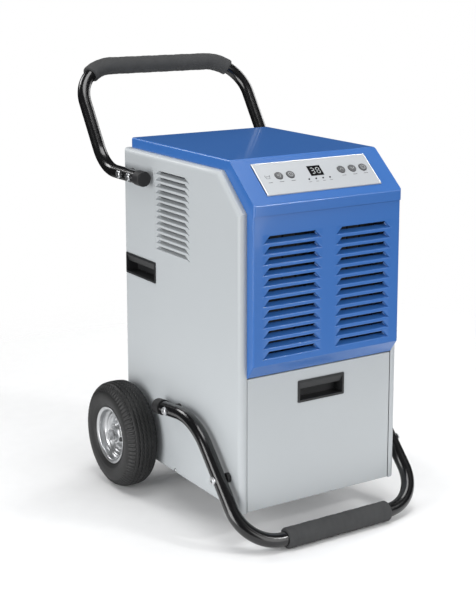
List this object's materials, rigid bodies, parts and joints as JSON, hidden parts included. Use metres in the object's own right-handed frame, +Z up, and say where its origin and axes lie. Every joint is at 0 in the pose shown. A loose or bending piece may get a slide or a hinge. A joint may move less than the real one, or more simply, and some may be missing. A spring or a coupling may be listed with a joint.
{
  "type": "wheeled dehumidifier",
  "caption": "Wheeled dehumidifier: grey folded steel cabinet, blue lid and louvred grille, slide-out water tank, black tube handle and front bar with foam grips, pneumatic tyres",
  "frame": {"origin": "on the floor, at the middle of the whole machine's footprint", "axes": "+Z up; -Y out of the front, the way the tank slides; +X to the right as seen from the front"},
  "size_m": [0.4938, 0.6819, 0.8255],
  "materials": {
    "cabinet_paint": "satin powder coat, fine texture",
    "cover_paint": "gloss powder coat",
    "frame_paint": "gloss powder coat",
    "grip_foam": "closed-cell foam, matte",
    "cap_rubber": "satin",
    "black_plastic": "fine moulded texture",
    "fascia": "silver printed film",
    "display_lens": "smoked, polished",
    "light_lens": "translucent",
    "button_plastic": "satin",
    "tank_plastic": "translucent polypropylene",
    "float_foam": "expanded foam",
    "zinc_steel": "zinc plated",
    "inner_steel": "galvanised sheet",
    "tyre_rubber": "matte moulded tread",
    "compressor_paint": "gloss",
    "copper": "drawn tube",
    "fin_aluminium": "bare fins",
    "board": "solder mask",
    "filter_plastic": "woven mesh",
    "grommet_rubber": "matte"
  },
  "bodies": {
    "cabinet": {"axle_hardware": "zinc_steel", "bar_grip": "grip_foam", "bar_tube": "frame_paint", "base_tray": "inner_steel", "cable_gland": "black_plastic", "compressor": "compressor_paint", "compressor_bolts": "zinc_steel", "compressor_feet": "grommet_rubber", "condenser_coil": "fin_aluminium", "control_board": "board", "control_box": "black_plastic", "control_fascia": "fascia", "display_window": "display_lens", "drain_outlet": "black_plastic", "drip_tray": "black_plastic", "evaporator_coil": "fin_aluminium", "fan_motor": "inner_steel", "fan_shroud": "black_plastic", "frame_bolts": "zinc_steel", "frame_spacers": "black_plastic", "front_grille": "cover_paint", "handle_grip": "grip_foam", "handle_tube": "frame_paint", "indicator_lights": "light_lens", "intake_filter": "filter_plastic", "left_side_panel": "cabinet_paint", "left_side_pull": "black_plastic", "level_switch": "black_plastic", "mid_shelf": "inner_steel", "panel_screws": "zinc_steel", "rear_panel": "cabinet_paint", "refrigerant_pipes": "copper", "right_side_panel": "cabinet_paint", "right_side_pull": "black_plastic", "run_capacitor": "inner_steel", "stub_axles": "zinc_steel", "top_cover": "cover_paint", "tube_end_caps": "cap_rubber"},
    "tank": {"tank_face": "cabinet_paint", "tank_bucket": "tank_plastic", "tank_pull": "black_plastic", "float_pin": "zinc_steel"},
    "float": {"float_arm": "float_foam"},
    "fan": {"fan_blades": "black_plastic", "fan_shaft": "zinc_steel"},
    "left_wheel": {"left_tyre": "tyre_rubber", "left_rim": "zinc_steel", "left_disc": "zinc_steel", "left_bearings": "zinc_steel", "left_valve": "tyre_rubber"},
    "right_wheel": {"right_tyre": "tyre_rubber", "right_rim": "zinc_steel", "right_disc": "zinc_steel", "right_bearings": "zinc_steel", "right_valve": "tyre_rubber"},
    "button_1_cap": {"button_1": "button_plastic"},
    "button_2_cap": {"button_2": "button_plastic"},
    "button_3_cap": {"button_3": "button_plastic"},
    "button_4_cap": {"button_4": "button_plastic"},
    "button_5_cap": {"button_5": "button_plastic"}
  },
  "joints": [
    {"name": "tank_slide", "type": "slide", "parent": "cabinet", "child": "tank", "axis": [0, -1, 0], "range_m": [0, 0.26]},
    {"name": "float_swing", "type": "hinge", "parent": "tank", "child": "float", "pos_m": [0, -0.06205, 0.272], "axis": [-1, 0, 0], "range_deg": [0, 28]},
    {"name": "fan_spin", "type": "hinge", "parent": "cabinet", "child": "fan", "pos_m": [0, -0.11705, 0.45], "axis": [0, 1, 0], "continuous": true},
    {"name": "left_wheel_spin", "type": "hinge", "parent": "cabinet", "child": "left_wheel", "pos_m": [-0.214, 0.10315, 0.1037], "axis": [1, 0, 0], "continuous": true},
    {"name": "right_wheel_spin", "type": "hinge", "parent": "cabinet", "child": "right_wheel", "pos_m": [0.214, 0.10315, 0.1037], "axis": [1, 0, 0], "continuous": true},
    {"name": "button_1_press", "type": "slide", "parent": "cabinet", "child": "button_1_cap", "axis": [0, 0.6488, -0.761], "range_m": [0, 0.001], "stiffness_N_per_m": 500},
    {"name": "button_2_press", "type": "slide", "parent": "cabinet", "child": "button_2_cap", "axis": [0, 0.6488, -0.761], "range_m": [0, 0.001], "stiffness_N_per_m": 500},
    {"name": "button_3_press", "type": "slide", "parent": "cabinet", "child": "button_3_cap", "axis": [0, 0.6488, -0.761], "range_m": [0, 0.001], "stiffness_N_per_m": 500},
    {"name": "button_4_press", "type": "slide", "parent": "cabinet", "child": "button_4_cap", "axis": [0, 0.6488, -0.761], "range_m": [0, 0.001], "stiffness_N_per_m": 500},
    {"name": "button_5_press", "type": "slide", "parent": "cabinet", "child": "button_5_cap", "axis": [0, 0.6488, -0.761], "range_m": [0, 0.001], "stiffness_N_per_m": 500}
  ]
}
